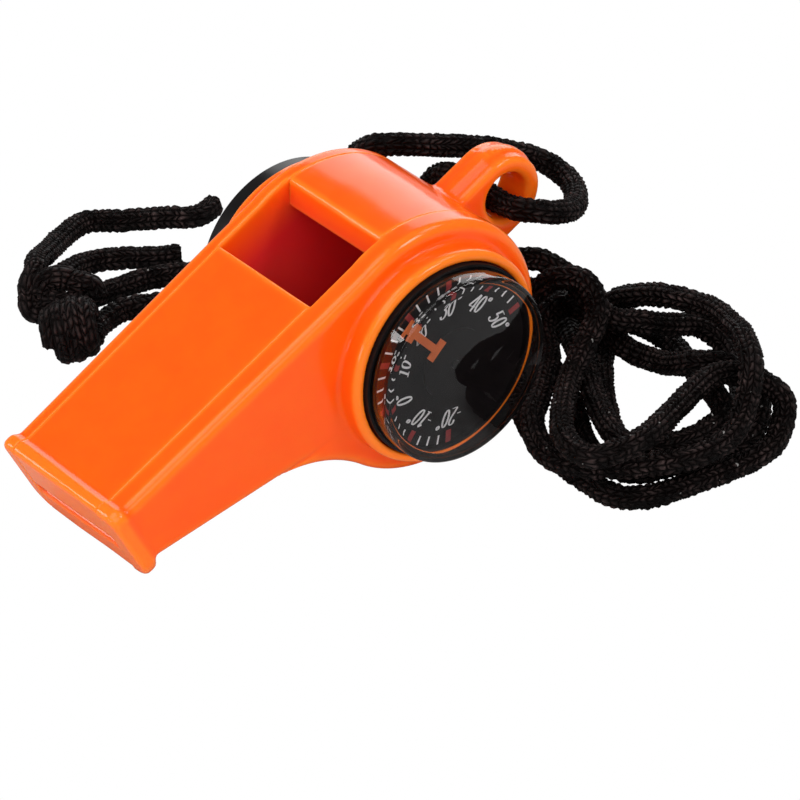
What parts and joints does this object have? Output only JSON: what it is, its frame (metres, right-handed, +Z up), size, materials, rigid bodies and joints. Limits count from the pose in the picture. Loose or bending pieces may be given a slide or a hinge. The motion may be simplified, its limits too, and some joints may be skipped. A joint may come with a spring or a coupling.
{
  "type": "training whistle",
  "caption": "Pea whistle with side plates that carry a domed dial thermometer and a domed compass, an eyelet and a knotted braided lanyard.",
  "frame": {"origin": "on the table, under the middle of the whistle's box as it lies on its drum and on its mouth bead, lanyard left out", "axes": "+Z up, +X from the mouth to the eyelet, the drum axis along Y with the thermometer facing -Y"},
  "size_m": [0.0827, 0.0904, 0.03],
  "materials": {
    "orange_plastic": "semi-gloss moulding",
    "black_plastic": "satin",
    "clear_plastic": "clear polished",
    "dial_black": "printed card",
    "pointer_orange": "painted strip",
    "card_white": "printed card",
    "steel": "turned",
    "bearing_brass": "turned",
    "coil_metal": "rolled strip",
    "jewel_glass": "polished",
    "magnet_iron": "plain",
    "pea_cork": "plain cork",
    "cord_black": "braided synthetic cord"
  },
  "bodies": {
    "whistle": {"body_core": "orange_plastic", "thermometer_cheek": "orange_plastic", "compass_cheek": "orange_plastic", "thermometer_case": "black_plastic", "thermometer_bearing": "bearing_brass", "thermometer_coil": "coil_metal", "thermometer_dial": "dial_black", "thermometer_dome": "clear_plastic", "compass_case": "black_plastic", "compass_pin": "steel", "compass_dome": "clear_plastic", "lanyard_front": "cord_black", "lanyard_back": "cord_black", "lanyard_knot": "cord_black", "lanyard_tail_long": "cord_black", "lanyard_tail_short": "cord_black"},
    "pea": {"pea": "pea_cork"},
    "pointer": {"thermometer_shaft": "steel", "thermometer_hub": "dial_black", "thermometer_pointer": "pointer_orange"},
    "compass_card": {"compass_card": "card_white", "compass_magnet": "magnet_iron", "compass_jewel": "jewel_glass"}
  },
  "joints": [
    {"name": "pea_orbit", "type": "hinge", "parent": "whistle", "child": "pea", "pos_m": [0.01025, 0, 0.015], "axis": [0, 1, 0], "continuous": true},
    {"name": "pointer_turn", "type": "hinge", "parent": "whistle", "child": "pointer", "pos_m": [0.01025, 0, 0.015], "axis": [0, 1, 0], "range_deg": [-133.5, 111.5], "stiffness_Nm_per_rad": 0.000015},
    {"name": "card_turn", "type": "hinge", "parent": "whistle", "child": "compass_card", "pos_m": [0.01025, 0, 0.015], "axis": [0, 1, 0], "continuous": true}
  ]
}
